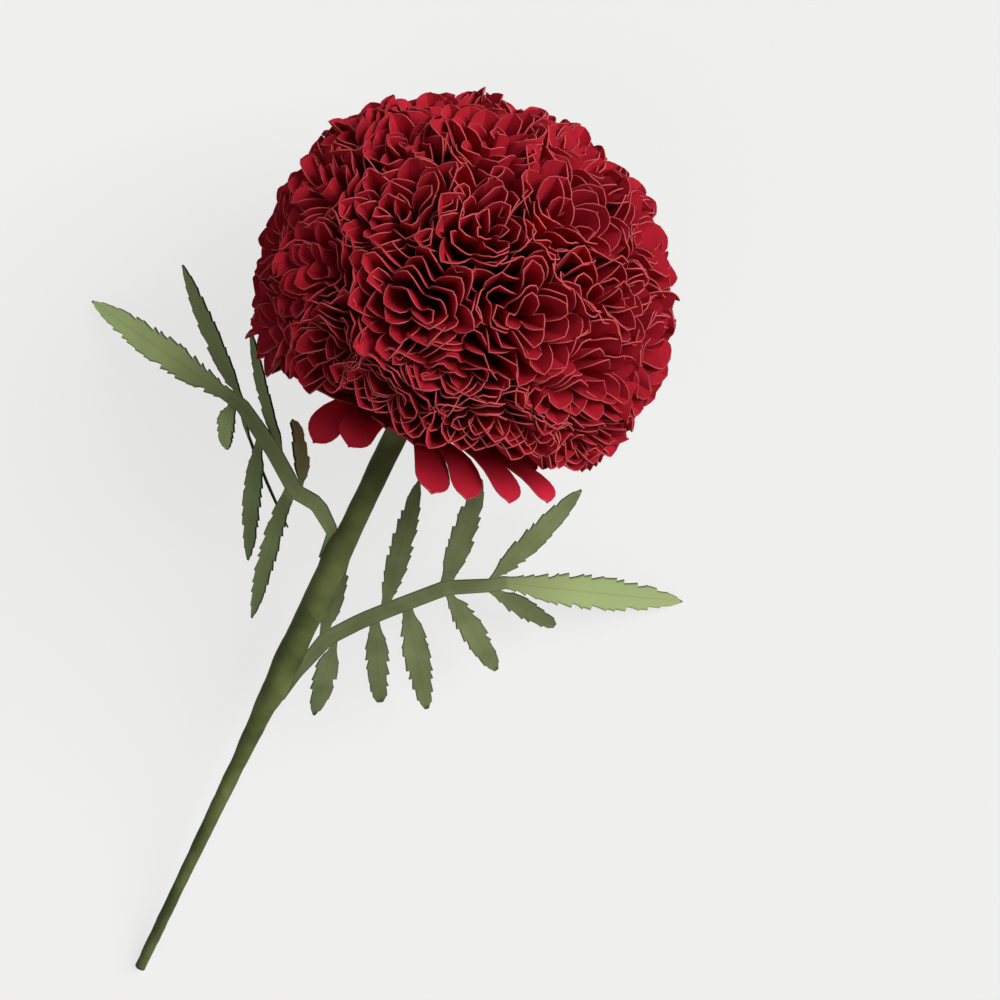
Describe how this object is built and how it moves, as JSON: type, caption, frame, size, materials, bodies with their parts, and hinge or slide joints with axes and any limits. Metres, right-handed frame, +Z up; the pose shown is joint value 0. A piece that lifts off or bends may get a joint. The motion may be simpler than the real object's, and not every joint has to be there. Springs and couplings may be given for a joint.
{
  "type": "paper flower",
  "caption": "Cut and gathered paper flower: a heavy round head of pleated crimson petals over a petal skirt, on a straight taped green stem with two toothed cut-paper leaves.",
  "frame": {"origin": "centre of the bounding box in plan, on the floor that the flower lies on", "axes": "+Z up; the flower lies on its side with its head towards +Y and +X and the stem running back to the floor towards -Y; the leaves reach out to both sides"},
  "size_m": [0.164, 0.2514, 0.111],
  "materials": {
    "foam": "matt foam",
    "petal_paper": "matt heavy paper, crimson through",
    "stem_wire": "plain wire",
    "stem_tape": "waxed crepe floral tape, olive green",
    "leaf_card": "matt card, sage green"
  },
  "bodies": {
    "root": {"core_ball": "foam", "floret_01": "petal_paper", "floret_02": "petal_paper", "floret_03": "petal_paper", "floret_04": "petal_paper", "floret_05": "petal_paper", "floret_06": "petal_paper", "floret_07": "petal_paper", "floret_08": "petal_paper", "floret_09": "petal_paper", "floret_10": "petal_paper", "floret_11": "petal_paper", "floret_12": "petal_paper", "floret_13": "petal_paper", "floret_14": "petal_paper", "floret_15": "petal_paper", "floret_16": "petal_paper", "floret_17": "petal_paper", "floret_18": "petal_paper", "floret_19": "petal_paper", "floret_20": "petal_paper", "floret_21": "petal_paper", "floret_22": "petal_paper", "floret_23": "petal_paper", "floret_24": "petal_paper", "floret_25": "petal_paper", "floret_26": "petal_paper", "floret_27": "petal_paper", "floret_28": "petal_paper", "floret_29": "petal_paper", "floret_30": "petal_paper", "floret_31": "petal_paper", "floret_32": "petal_paper", "floret_33": "petal_paper", "floret_34": "petal_paper", "floret_35": "petal_paper", "floret_36": "petal_paper", "floret_37": "petal_paper", "floret_38": "petal_paper", "floret_39": "petal_paper", "floret_40": "petal_paper", "floret_41": "petal_paper", "floret_42": "petal_paper", "floret_43": "petal_paper", "floret_44": "petal_paper", "floret_45": "petal_paper", "floret_46": "petal_paper", "floret_47": "petal_paper", "skirt_upper": "petal_paper", "skirt_lower": "petal_paper", "stem_wire": "stem_wire", "stem_tape": "stem_tape", "leaf_upper": "leaf_card", "leaf_lower": "leaf_card"}
  },
  "joints": []
}
